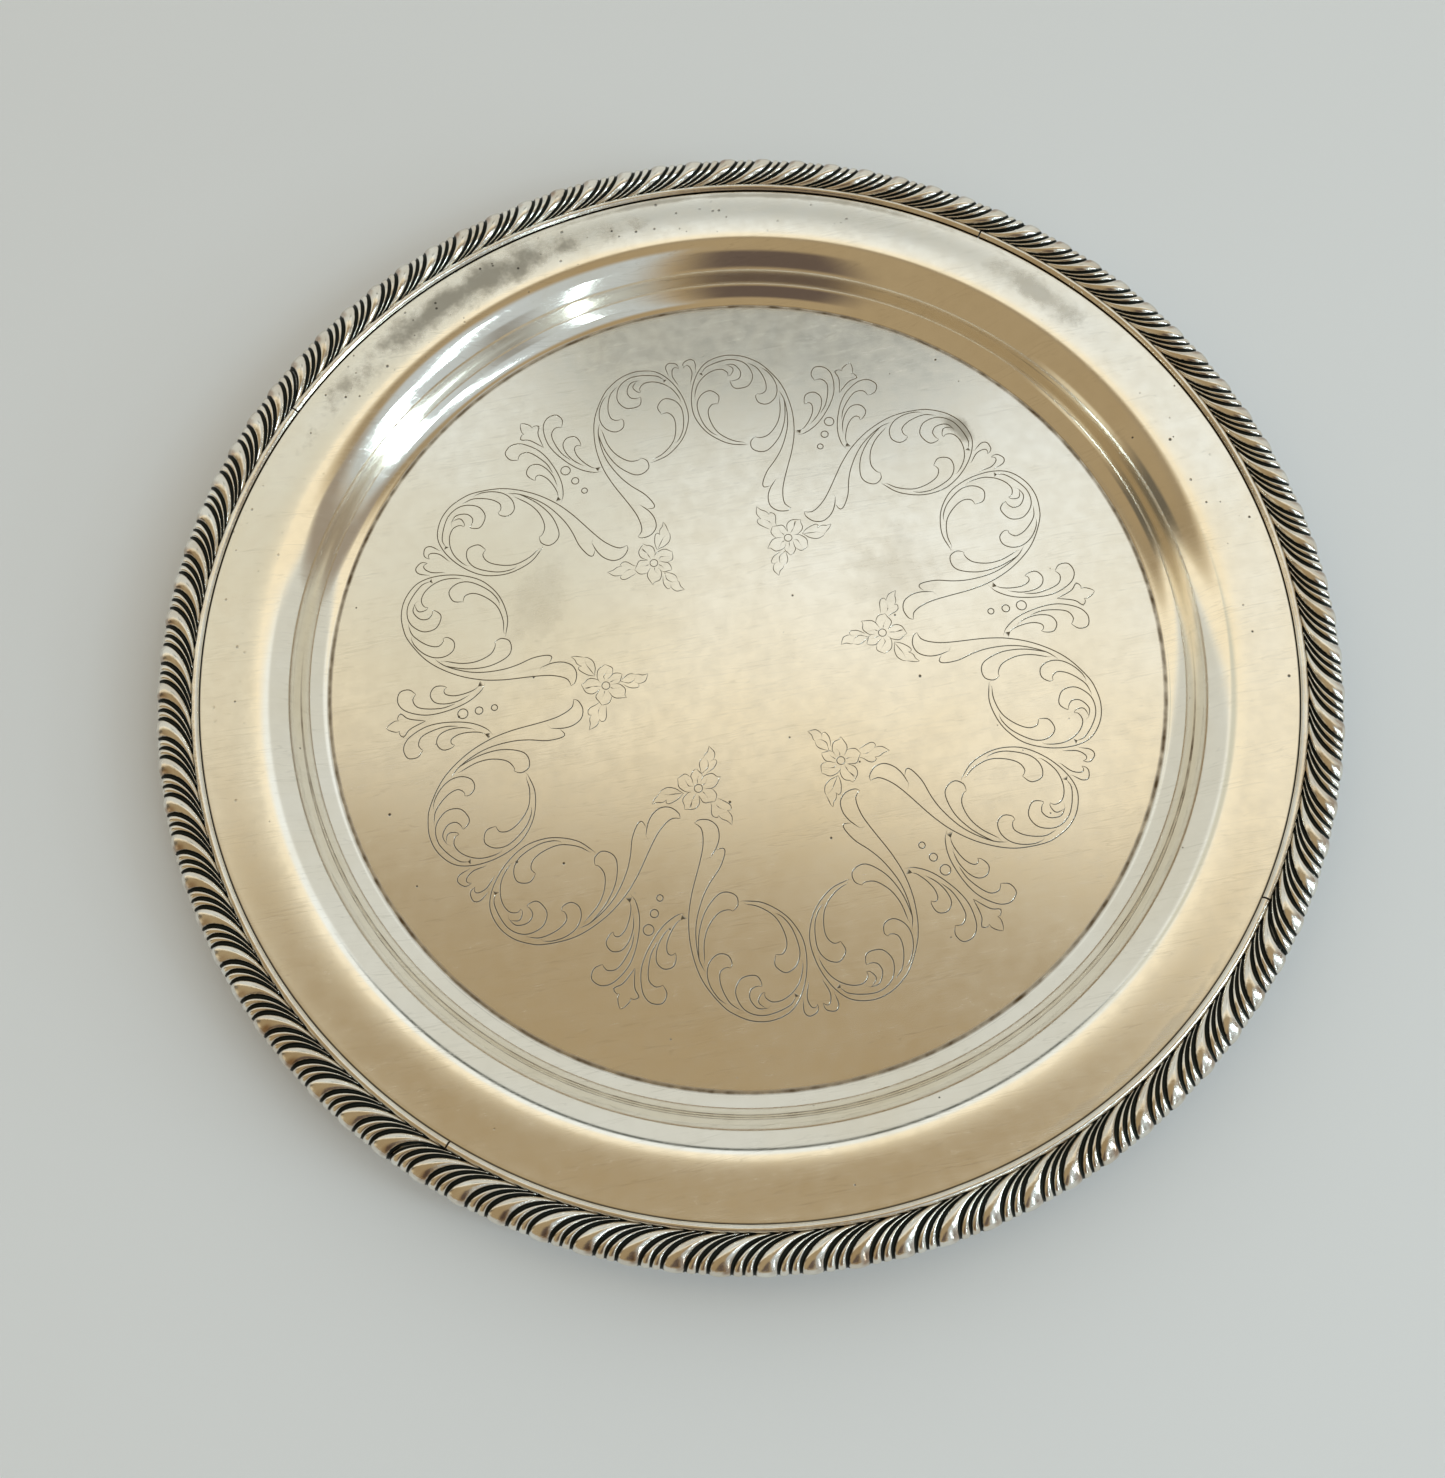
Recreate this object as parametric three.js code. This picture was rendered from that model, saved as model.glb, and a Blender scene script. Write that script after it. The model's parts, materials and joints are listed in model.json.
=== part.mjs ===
// A round gadroon-bordered salver in millimetres, +Z up, standing on its flat underside with the origin
// at the middle of that underside. One pressed dish of plated sheet (flat well, S-shaped wall, flange)
// carries an applied border in four lengths. Each length is a thin stamped shell whose hollow back was
// filled with solder before it was fixed over the flange's edge.
import * as THREE from 'three';

// Driving dimensions
const trayDiameter = 304.8; // over the border's lobes
const sheet = 1.2; // thickness of the dish
const borderWidth = 11.1; // from the border's inner edge to the outermost lobe
const flangeWidth = 14; // plain flange that shows between wall and border
const flangeRise = 1.3; // from the top of the wall to the border's seat
const coveWidth = 5.7; // plan width of the hollow lower part of the wall
const shoulderWidth = 8.7; // plan width of the rounded upper part of the wall
const wallRise = 14.2; // from the well's top face to the top of the wall
const wallFoot = THREE.MathUtils.degToRad(12); // slope of the wall where it leaves the well
const wallHead = THREE.MathUtils.degToRad(9); // slope of the wall where it meets the flange
const flangeEnd = THREE.MathUtils.degToRad(7); // slope of the flange at the border
const edgeCover = 2.2; // how far the border reaches past the flange's edge
const beadWidth = 1.8; // narrow bead along the border's inner edge
const beadHeight = 1.3; // crest of the bead above the seat
const beadFoot = 0.9; // upright side of the bead, and the quirk behind it
const lobeHeight = 3.3; // crest of a lobe above the seat
const lobeDepth = 0.8; // from a lobe's crest down to the groove beside it
const shell = 0.4; // thickness of the stamped border
const lip = 0.9; // how far the border turns in under the flange
const lipRound = 0.4; // setback of the lip's lower corner from the outermost lobe
const clearance = 0.3; // between touching pieces
const lengthGap = 0.5; // between two lengths of border, along the rim
const lobePitch = 10.4; // along the outermost circle, one lobe to the next
const borderLengths = 4;
const firstJoint = THREE.MathUtils.degToRad(46); // place of the first joint between two lengths
const lean = THREE.MathUtils.degToRad(-3); // turn of a lobe from its inner to its outer end

// Facets
const dishSegments = 72;
const arcSteps = 5;
const flangeSteps = 3;
const shellStationsPerLobe = 2; // one in the groove and one on the crest
const fillStationsPerLobe = 1;

// Places that follow from the sizes
const rimRadius = trayDiameter / 2;
const seatRadius = rimRadius - borderWidth;
const wallTopRadius = seatRadius - flangeWidth;
const wellRadius = wallTopRadius - shoulderWidth - coveWidth;
const wallTop = sheet + wallRise;
const seat = wallTop + flangeRise;
const flangeEdge = rimRadius - edgeCover;
const lobesPerLength = Math.round((2 * Math.PI * rimRadius) / lobePitch / borderLengths);
const lengthAngle = (2 * Math.PI) / borderLengths;
const endInset = lengthGap / 2 / rimRadius;
const overEdge = borderWidth - edgeCover + clearance; // the shell's inner face beyond the flange's edge

const plate = { color: 0xc3bfb6, roughness: 0.25, metalness: 1 };
const oxidised = { color: 0xb3a58c, roughness: 0.35, metalness: 1 };
const solder = { color: 0x7d7d7b, roughness: 0.6, metalness: 1 };

function named(name, geometry, finish) {
  const mesh = new THREE.Mesh(geometry, new THREE.MeshStandardMaterial(finish));
  mesh.name = name;
  return mesh;
}

// Slope at which the wall's two arcs meet, steep enough for them to climb wallRise together. An arc whose
// slope runs from a to b climbs its plan width times the tangent of the middle of a and b.
function steepestSlope() {
  let low = Math.max(wallFoot, wallHead);
  let high = Math.PI - low;
  const climb = (slope) =>
    coveWidth * Math.tan((wallFoot + slope) / 2) + shoulderWidth * Math.tan((wallHead + slope) / 2);
  const halvings = 50;
  for (let i = 0; i < halvings; i += 1) {
    const middle = (low + high) / 2;
    if (climb(middle) < wallRise) {
      low = middle;
    } else {
      high = middle;
    }
  }
  return low;
}

// Points and normals along an arc of a given plan width, from start, as its slope changes from a to b.
function arc(start, width, a, b) {
  const radius = width / (Math.sin(b) - Math.sin(a));
  const points = [];
  const normals = [];
  for (let i = 1; i <= arcSteps; i += 1) {
    const slope = a + ((b - a) * i) / arcSteps;
    const out = start.x + radius * (Math.sin(slope) - Math.sin(a));
    const up = start.y - radius * (Math.cos(slope) - Math.cos(a));
    points.push(new THREE.Vector2(out, up));
    normals.push(new THREE.Vector2(-Math.sin(slope), Math.cos(slope)));
  }
  return { points, normals };
}

// The dish's top face from the foot of the wall to the border's seat: a hollow arc that leaves the well at
// wallFoot, a round shoulder, and a flange that dishes a little between wallHead and flangeEnd.
function wallAndFlange() {
  const steepest = steepestSlope();
  const foot = new THREE.Vector2(wellRadius, sheet);
  const cove = arc(foot, coveWidth, wallFoot, steepest);
  const shoulder = arc(cove.points.at(-1), shoulderWidth, steepest, wallHead);
  const head = shoulder.points.at(-1);
  const inner = new THREE.Vector2(seatRadius, seat);
  const third = flangeWidth / 3;
  const flange = new THREE.CubicBezierCurve(
    head,
    new THREE.Vector2(head.x + third, head.y + third * Math.tan(wallHead)),
    new THREE.Vector2(inner.x - third, inner.y - third * Math.tan(flangeEnd)),
    inner,
  );
  const points = [...cove.points, ...shoulder.points];
  const normals = [...cove.normals, ...shoulder.normals];
  for (let i = 1; i <= flangeSteps; i += 1) {
    const tangent = flange.getTangent(i / flangeSteps);
    points.push(flange.getPoint(i / flangeSteps));
    normals.push(new THREE.Vector2(-tangent.y, tangent.x));
  }
  return { points, normals };
}

// Closed section of the dish, from the middle of the underside out to the flange's edge and back.
function dishSection() {
  const { points, normals } = wallAndFlange();
  const under = points.map((point, i) => point.clone().addScaledVector(normals[i], -sheet));
  return [
    new THREE.Vector2(0, 0),
    new THREE.Vector2(wellRadius + sheet * Math.tan(wallFoot / 2), 0),
    ...under,
    new THREE.Vector2(flangeEdge, seat - sheet),
    new THREE.Vector2(flangeEdge, seat),
    ...points.reverse(),
    new THREE.Vector2(wellRadius, sheet),
    new THREE.Vector2(0, sheet),
  ];
}

function dishGeometry() {
  const geometry = new THREE.LatheGeometry(dishSection(), dishSegments);
  geometry.rotateX(Math.PI / 2); // the lathe turns about Y
  return geometry;
}

// Crest line of a lobe as [distance from the border's inner edge, height over the seat, share of the
// lobe's depth that the groove cuts away].
const lobeLine = [
  [0.3 * borderWidth, 0.72 * lobeHeight, 0.7],
  [0.55 * borderWidth, lobeHeight, 1],
  [0.8 * borderWidth, 0.8 * lobeHeight, 1],
];

// The hollow side follows the grooves, and its last point stays inside the shell's outer wall.
const hollowLine = lobeLine.map(([out, up, cut]) => [
  Math.min(out, overEdge - clearance),
  up - cut * lobeDepth - shell,
]);

// Section of the shell as [distance from the border's inner edge, height over the seat]. The visible side
// runs from the inner edge over the bead and the lobe, round the rim and in under the flange, and the
// hollow side runs back. A station in a groove has its lobe cut down by depth.
function shellSection(depth) {
  const under = -sheet - clearance;
  return [
    [0, clearance],
    [0, beadFoot],
    [beadWidth / 2, beadHeight],
    [beadWidth, beadFoot],
    ...lobeLine.map(([out, up, cut]) => [out, up - cut * depth]),
    [0.95 * borderWidth, 0.35 * lobeHeight - depth / 2],
    [borderWidth - depth / 3, -0.4 * sheet],
    [borderWidth - lipRound, under - shell],
    [overEdge - lip, under - shell],
    [overEdge - lip, under],
    [overEdge, under],
    [overEdge, clearance],
    ...hollowLine.toReversed(),
    [beadWidth, clearance],
  ];
}

// Section of the solder inside the shell, with its flat side over the flange.
function fillSection() {
  const start = beadWidth + 3 * clearance;
  const end = overEdge - 2 * clearance;
  const top = hollowLine.map(([out, up]) => [Math.min(out, end), up - clearance]);
  return [[start, clearance], ...top, [end, clearance]];
}

// Turn of a point of the border about the tray's axis: the lobes sweep over like commas, almost along the
// rim at their inner end and almost radial at their outer end.
function swept(out) {
  const share = Math.min(out / borderWidth, 1);
  return lean * (1 - (1 - share) ** 2);
}

// A closed solid through one section for each station along the rim.
function sweptGeometry(sections, angles) {
  const size = sections[0].length;
  const positions = [];
  const index = [];
  sections.forEach((section, station) => {
    section.forEach(([out, up]) => {
      const radius = seatRadius + out;
      const angle = angles[station] + swept(out);
      positions.push(radius * Math.cos(angle), radius * Math.sin(angle), seat + up);
    });
  });
  for (let station = 0; station + 1 < sections.length; station += 1) {
    for (let i = 0; i < size; i += 1) {
      const a = station * size + i;
      const b = station * size + ((i + 1) % size);
      index.push(a, b, a + size);
      index.push(b, b + size, a + size);
    }
  }
  const lastStart = (sections.length - 1) * size;
  const outline = (section) => section.map(([out, up]) => new THREE.Vector2(out, up));
  for (const [a, b, c] of THREE.ShapeUtils.triangulateShape(outline(sections[0]), [])) {
    index.push(a, b, c);
  }
  for (const [a, b, c] of THREE.ShapeUtils.triangulateShape(outline(sections.at(-1)), [])) {
    index.push(lastStart + a, lastStart + c, lastStart + b);
  }
  const geometry = new THREE.BufferGeometry();
  geometry.setAttribute('position', new THREE.Float32BufferAttribute(positions, 3));
  geometry.setIndex(index);
  geometry.computeVertexNormals();
  return geometry;
}

// Angles of the stations along one length, with both ends drawn in from the joints.
function stationAngles(length, perLobe) {
  const count = lobesPerLength * perLobe;
  const start = firstJoint + length * lengthAngle;
  const angles = [];
  for (let i = 0; i <= count; i += 1) {
    angles.push(start + (lengthAngle * i) / count);
  }
  angles[0] += endInset;
  angles[count] -= endInset;
  return angles;
}

function shellGeometry(length) {
  const angles = stationAngles(length, shellStationsPerLobe);
  const sections = angles.map((_, i) => shellSection(i % shellStationsPerLobe === 0 ? lobeDepth : 0));
  return sweptGeometry(sections, angles);
}

function fillGeometry(length) {
  const angles = stationAngles(length, fillStationsPerLobe);
  return sweptGeometry(
    angles.map(() => fillSection()),
    angles,
  );
}

const salver = new THREE.Group();
salver.add(named('pressed_dish', dishGeometry(), plate));
for (let length = 0; length < borderLengths; length += 1) {
  salver.add(named(`gadroon_length_${length + 1}`, shellGeometry(length), oxidised));
  salver.add(named(`solder_fill_${length + 1}`, fillGeometry(length), solder));
}

export default salver;
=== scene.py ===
import json
import math

import bmesh
import bpy
import numpy as np
from mathutils import Matrix, Vector
from mathutils.geometry import delaunay_2d_cdt


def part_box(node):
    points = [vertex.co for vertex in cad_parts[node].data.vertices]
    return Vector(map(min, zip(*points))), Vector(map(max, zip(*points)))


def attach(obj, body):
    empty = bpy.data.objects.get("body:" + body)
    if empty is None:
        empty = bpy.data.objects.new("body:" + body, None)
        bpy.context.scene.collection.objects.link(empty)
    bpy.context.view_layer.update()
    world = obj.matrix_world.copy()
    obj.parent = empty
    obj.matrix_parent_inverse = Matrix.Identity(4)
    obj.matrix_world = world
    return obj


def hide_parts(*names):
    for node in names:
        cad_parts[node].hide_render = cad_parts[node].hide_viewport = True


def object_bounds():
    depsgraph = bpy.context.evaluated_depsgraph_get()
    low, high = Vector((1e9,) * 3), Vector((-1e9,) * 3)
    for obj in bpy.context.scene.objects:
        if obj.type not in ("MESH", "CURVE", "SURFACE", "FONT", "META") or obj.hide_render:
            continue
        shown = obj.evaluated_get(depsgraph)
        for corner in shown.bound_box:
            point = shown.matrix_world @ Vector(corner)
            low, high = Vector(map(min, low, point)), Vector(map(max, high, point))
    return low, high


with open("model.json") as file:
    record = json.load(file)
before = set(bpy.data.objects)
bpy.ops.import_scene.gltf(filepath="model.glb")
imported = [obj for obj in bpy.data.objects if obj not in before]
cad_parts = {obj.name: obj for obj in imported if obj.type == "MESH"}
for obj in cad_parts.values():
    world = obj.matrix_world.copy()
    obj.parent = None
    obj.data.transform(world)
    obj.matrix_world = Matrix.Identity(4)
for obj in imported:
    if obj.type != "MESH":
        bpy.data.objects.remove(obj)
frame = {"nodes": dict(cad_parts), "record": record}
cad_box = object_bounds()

# --- The pressed dish -------------------------------------------------------------------------------
# One disc of plated sheet, pressed or spun to a flat well, an S-shaped wall and a plain flange, and
# engraved before the border went on. Underneath it is the same sheet, duller and never polished.
mm = 0.001
flange_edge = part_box("pressed_dish")[1].x / mm
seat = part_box("pressed_dish")[1].z / mm
sheet = frame["record"]["mounts"][1]["pos_m"][2] / mm  # the second mount lies on the well's top face
well_radius = 112.9
cove_width = 5.7
shoulder_width = 8.7
wall_rise = 14.2
wall_foot = math.radians(12)
wall_head = math.radians(9)
flange_end = math.radians(7)
slope_error = 1e-15
seat_radius = 141.3
crease_depth = 0.12  # fine groove where the wall leaves the well
crease_width = 0.35
round_edge = 0.25  # setback of the flange's rounded edge
cove_steps = 16
shoulder_steps = 18
flange_steps = 12
weld = 2e-6  # m; corners closer than this are joined
silver = (0.91, 0.88, 0.81)
yellowed = (0.80, 0.71, 0.54)
grime = (0.13, 0.09, 0.05)
# Black of the pits, also used for the painted contact shadow along the border's inner edge.
oxide_and_shadow_black = (0.05, 0.047, 0.042)
mottled = (0.62, 0.57, 0.47)
unpolished = (0.55, 0.50, 0.42)
grey_stain = (0.23, 0.22, 0.19)
scratched = (0.45, 0.42, 0.36)
old_polish = (0.17, 0.145, 0.105)  # dried in the engraved lines
wall_polish = (126, 130)  # distances from the axis over which the wall's brighter polish fades
bead_shadow_reach = (0.45, 0.1)  # painted contact shadow against the border begins and is full this far short of its inner edge
stains = (  # bearing in degrees, then distance from the axis, half length and half width in mm, and strength
    (117, 134.5, 52, 5.0, 0.75),
    (40, 134.5, 18, 4.0, 0.38),
    (80, 139.9, 75, 0.9, 0.50),
    (300, 139.6, 40, 1.2, 0.25),
    (38, 94.2, 7, 2.6, 0.60),
    (150, 60.0, 14, 9.0, 0.14),
    (20, 50.0, 12, 14.0, 0.12),
)
speckled_places = (  # bearing in degrees, then distance from the axis, half length and half width in mm
    (125, 134.0, 150, 9.0),
    (12, 129.6, 60, 1.7),
    (8, 132.0, 25, 5.0),
)

# The engraving: six flowers with scrolls and palmettes between them, one pattern that repeats every 60
# degrees. Each line is a fine V cut with a graver, widest in its middle. The points are millimetres from
# the tray's axis, x outwards along the middle of a flower and y to its left.
flowers = 6
well_segments = 48  # straight facets of the well's edge in one sixth of its turn
scroll_cut = (0.34, 0.07)  # width and depth of a scroll's line
flower_cut = (0.28, 0.06)
scroll_step = 0.8  # distance between the places of a smooth line
flower_step = 0.5
run_in = 2.0  # length over which a line widens from its end
end_width = 0.25  # width of a line at its very end, as a share of its full width
swelling = 0.7  # at less than 1 the line widens fast at first
least_depth = 0.004  # shallower places stay on the well's face
overlap = 1e-4  # places closer than this are one
# The left half of the scrollwork round a flower; the right half is its mirror image.
scrolls = {
    "stem_and_ring": [(47.5, 2), (48.1, 3.9), (52, 5.9), (66, 7.5), (71.4, 8.7), (78.2, 11.7), (85, 17.1),
                      (89.5, 24.4), (90.2, 27), (90.4, 31.7), (88.9, 36.3), (85.2, 40.3), (80.7, 41.6),
                      (74.1, 41), (68, 38.4), (65, 35.5), (62.7, 31.5), (61.6, 25.2), (62.8, 20.2)],
    "acanthus_tip": [(47.5, 2), (46.5, 2.5), (45.5, 5.2), (46.3, 7.7), (48.7, 9.2), (51.5, 9.5), (54.7, 8.9)],
    "calyx_and_stem": [(52.3, 9.8), (51.4, 11.1), (51.8, 11.8), (56, 12.1), (61, 10.9), (65, 10.4),
                       (71.2, 10.8), (75.6, 12.1), (80.6, 14.8), (82.5, 16.7)],
    "curl_1_outer": [(66.1, 18.7), (65.3, 19.2), (64.2, 19.5), (62.2, 18.5), (61.8, 16.3), (62.8, 14.2),
                     (68, 12.2), (73.8, 12.4), (78.2, 13.7), (80.4, 14.7)],
    "curl_1_inner": [(66.1, 18.7), (66, 17.9), (67.4, 15.7), (71.5, 14.2), (75.7, 14.4), (80.5, 16.1)],
    "curl_2_outer": [(79.9, 22.7), (78.9, 22.9), (77.1, 21.3), (77.4, 18.9), (79.8, 17.4), (82.9, 17.6),
                     (85.8, 19.5), (88, 22.6), (88.5, 24.4)],
    "curl_2_inner": [(79.9, 22.7), (79.9, 21.9), (81.3, 20.7), (84.1, 21.5), (88, 25.4), (88.8, 28.4)],
    "curl_3_outer": [(81.7, 31.4), (81.4, 31.6), (79.8, 30.2), (79.6, 29.1), (80.9, 26.6), (82.2, 25.8),
                     (85.2, 25.9), (88.4, 29.3), (88.3, 34.1), (83.5, 39.9), (81.4, 40.4)],
    "curl_3_inner": [(81.7, 31.4), (81.8, 30.8), (83, 29.4), (85.2, 29.6), (86.8, 31.6), (87, 32.8),
                     (86.2, 34.7)],
    "curl_4_crescent": [(82.8, 32.8), (83.2, 32.2), (85.2, 31.9), (85.9, 32.5), (86.3, 34.2)],
    "curl_4_outer": [(82.8, 32.8), (83.7, 33.1), (84.4, 35), (83.5, 37.1), (81.1, 39.1), (77.8, 40.2),
                     (74.3, 40), (72.6, 39.5)],
    "curl_5_outer": [(73, 32.5), (75.2, 32.9), (76, 33.7), (76.5, 36.2), (74.4, 38.1), (70.9, 38.2),
                     (65.4, 34.3), (63.4, 31), (63.1, 29.5)],
    "curl_5_inner": [(73, 32.5), (72.4, 34), (70.4, 34.5), (67.8, 33.4), (64.1, 29.5), (62.9, 24.5),
                     (63.3, 21.3)],
    "outside_leaf_lower": [(77, 42.4), (80.7, 43.2), (82.3, 44.6), (82.5, 45.4), (82.1, 45.9), (81.3, 46.1)],
    "outside_leaf_upper": [(81.3, 46.1), (82.2, 46.6), (83.2, 46.6), (84.7, 45.2), (84.7, 44.3), (84, 43.4),
                           (81.4, 42.4)],
    "palmette_outer": [(70.7, 6.8), (71.4, 5.8), (74.3, 3.7), (78, 2.3), (84.3, 1.4), (88.4, 1.9), (93, 4.3),
                       (94.3, 6.7), (93.8, 9), (93, 9.7), (90.8, 9.7), (89.2, 8.1)],
    "palmette_second": [(89.2, 8.1), (90.2, 6.7), (89.3, 4.4), (83, 2.7), (79.2, 3.2)],
    "palmette_third": [(75.3, 4.8), (78.4, 3.8), (82.1, 3.8), (84.5, 4.8), (85.4, 6.9), (84.5, 8.7),
                       (83.4, 9.2), (81.3, 8.8), (80.7, 8.3)],
    "palmette_inner": [(80.7, 8.3), (81.3, 8), (81.6, 7.3), (81.3, 6.5), (79.3, 5.6), (76, 5.6), (73.2, 6.3),
                       (72.3, 6.9)],
    "bud_side": [(87.5, 0), (91.7, 1.4), (92.7, 2.1), (93.9, 3.4), (94.9, 2.2), (94.7, 1.5)],
    "bud_tip": [(94.7, 1.5), (95.6, 1.6), (97.6, 0.6), (98.1, 0)],
}
# The flower and its three leaves, which turn one way and have no mirror image.
flower = {
    "petal_a_near": [(39.9, -1.7), (40.2, -2.2), (42, -3), (43, -2.8), (43.8, -2.1), (44.8, -1.7)],
    "petal_a_far": [(44.8, -1.7), (43.8, 0.8), (42.3, 1.5), (41.4, 1.3), (40.1, 0.6)],
    "petal_b_near": [(40.1, 0.6), (41.5, 2.6), (40.8, 4.1), (40.3, 5.2)],
    "petal_b_far": [(40.3, 5.2), (38.4, 5), (37.4, 3.7), (37.2, 3)],
    "petal_c_near": [(37.8, 1.7), (37.1, 3.2), (36.3, 3.9), (33.4, 4.4)],
    "petal_c_far": [(33.4, 4.4), (33.7, 3.6), (33.3, 2.2), (33.5, 1.5), (34.8, 0.1), (35.9, -0.1)],
    "petal_d_near": [(35, -0.2), (34.3, -0.5), (34.1, -1), (33.4, -2.4)],
    "petal_d_far": [(33.4, -2.4), (34.1, -2.9), (35.8, -3.1), (36.5, -2.5), (37.6, -1.8)],
    "petal_e_near": [(36, -3.2), (35.7, -4.7), (37.5, -6.2)],
    "petal_e_far": [(37.5, -6.2), (38.3, -5.8), (39.2, -5.4), (39.8, -4.7), (40.2, -2.7), (39.9, -1.8)],
    "vein_a": [(40.1, -0.3), (41.8, -0.6)],
    "vein_b": [(38.8, 1.2), (39.2, 2.2)],
    "vein_c": [(36.4, 1.2), (37.2, 0.6)],
    "vein_d": [(35.9, -1.2), (37.2, -0.8)],
    "vein_e": [(38.3, -2.1), (38.5, -2.7), (37.9, -3.5)],
    "inner_leaf_tip": [(26.5, -1.2), (27.7, 0.8), (29.4, 1.1), (29.8, 0.9)],
    "inner_leaf_lobe": [(29.6, 1.2), (29.5, 1.7), (29.8, 2.1), (31.5, 2), (33, 1.1), (33.5, 0.6)],
    "inner_leaf_low_tip": [(26.5, -1.2), (28.1, -1.1), (29.2, -1.6), (29.8, -1.5)],
    "inner_leaf_low_lobe": [(30.2, -1.8), (31, -2.1), (32, -2), (34, -0.8)],
    "inner_leaf_vein": [(30.4, -0.2), (31.2, 0.2), (32.2, 0.4), (33.5, -0.2)],
    "left_leaf_base": [(39.2, 5.8), (39.7, 8.8), (40.2, 9.6), (40.8, 9.8), (41.3, 9.6), (41.5, 9)],
    "left_leaf_tip": [(41.5, 9), (42.6, 10.6), (44.8, 11.4)],
    "left_leaf_back": [(44.8, 11.4), (44.2, 9.7), (44.2, 8.7), (43.9, 7.8), (43.5, 7.3)],
    "left_leaf_lobe": [(43.5, 7.3), (44.2, 7.2), (44.2, 6), (43.5, 5.3), (41.7, 4.7), (40.9, 4.2)],
    "left_leaf_vein": [(41.2, 6), (41.6, 7)],
    "right_leaf_lobe": [(40.8, -3.4), (42.7, -4.2), (44.5, -5.8), (44.8, -6.4), (44.6, -6.9), (43.8, -7)],
    "right_leaf_tip": [(43.8, -7), (44.6, -7.5), (45.1, -8.2), (45.3, -9.1), (46.2, -10.2)],
    "right_leaf_base": [(40.8, -3.4), (40.6, -4.5), (40.3, -5.5), (40.6, -7.8), (42, -9.2), (42.8, -9.4)],
    "right_leaf_back": [(42.8, -9.4), (45.3, -10.2), (46.2, -10.2)],
    "right_leaf_vein": [(40.9, -3.8), (42.5, -7.1)],
}
dots = [(68.8, 0, 0.83), (73, 0, 1.04), (77.4, 0, 1.37)]  # rings between the palmettes: x, y, radius
flower_eye = (38.3, -0.1, 1.08)


def smooth_line(points, step):
    """A smooth line through the points, as a list of places about step apart."""
    if len(points) == 2:
        count = max(2, round(math.dist(*points) / step))
        return [Vector(points[0]).lerp(Vector(points[1]), i / count) for i in range(count + 1)]
    knots = [Vector(point) for point in points]
    knots = [2 * knots[0] - knots[1], *knots, 2 * knots[-1] - knots[-2]]
    line = []
    for before, start, end, after in zip(knots, knots[1:], knots[2:], knots[3:]):
        times = [0.0]
        for a, b in ((before, start), (start, end), (end, after)):
            times.append(times[-1] + math.sqrt((b - a).length))
        count = max(2, round((end - start).length / step))
        for i in range(count):
            t = times[1] + (times[2] - times[1]) * i / count
            level_1 = [
                p.lerp(q, (t - times[k]) / (times[k + 1] - times[k]))
                for k, (p, q) in enumerate(((before, start), (start, end), (end, after)))
            ]
            level_2 = [
                level_1[k].lerp(level_1[k + 1], (t - times[k]) / (times[k + 2] - times[k]))
                for k in (0, 1)
            ]
            line.append(level_2[0].lerp(level_2[1], (t - times[1]) / (times[2] - times[1])))
    line.append(knots[-2])
    return line


def ring_line(x, y, radius, count=20):
    """A closed ring about a place, as a list of places."""
    return [Vector((x + radius * math.cos(a), y + radius * math.sin(a)))
            for a in np.linspace(0, 2 * math.pi, count + 1)]


def graver_widths(line, width, closed):
    """Width of the cut at each place of a line; an open line runs in and out at its ends."""
    run = [0.0]
    for a, b in zip(line, line[1:]):
        run.append(run[-1] + (b - a).length)
    if closed:
        return [width] * len(line)
    ease = min(run_in, run[-1] / 2)
    grown_in = [min(1, min(s, run[-1] - s) / ease) ** swelling for s in run]
    return [width * (end_width + (1 - end_width) * share) for share in grown_in]


cuts = []  # one (places, widths, depth) for each line of a sixth
for points in scrolls.values():
    line = smooth_line(points, scroll_step)
    for side in (1, -1):
        mirrored = [Vector((p.x, side * p.y)) for p in line]
        cuts.append((mirrored, graver_widths(line, scroll_cut[0], False), scroll_cut[1]))
for points in flower.values():
    line = smooth_line(points, flower_step)
    cuts.append((line, graver_widths(line, flower_cut[0], False), flower_cut[1]))
for ring, cut in [*((dot, scroll_cut) for dot in dots), (flower_eye, flower_cut)]:
    line = ring_line(*ring)
    cuts.append((line, graver_widths(line, cut[0], True), cut[1]))


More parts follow.
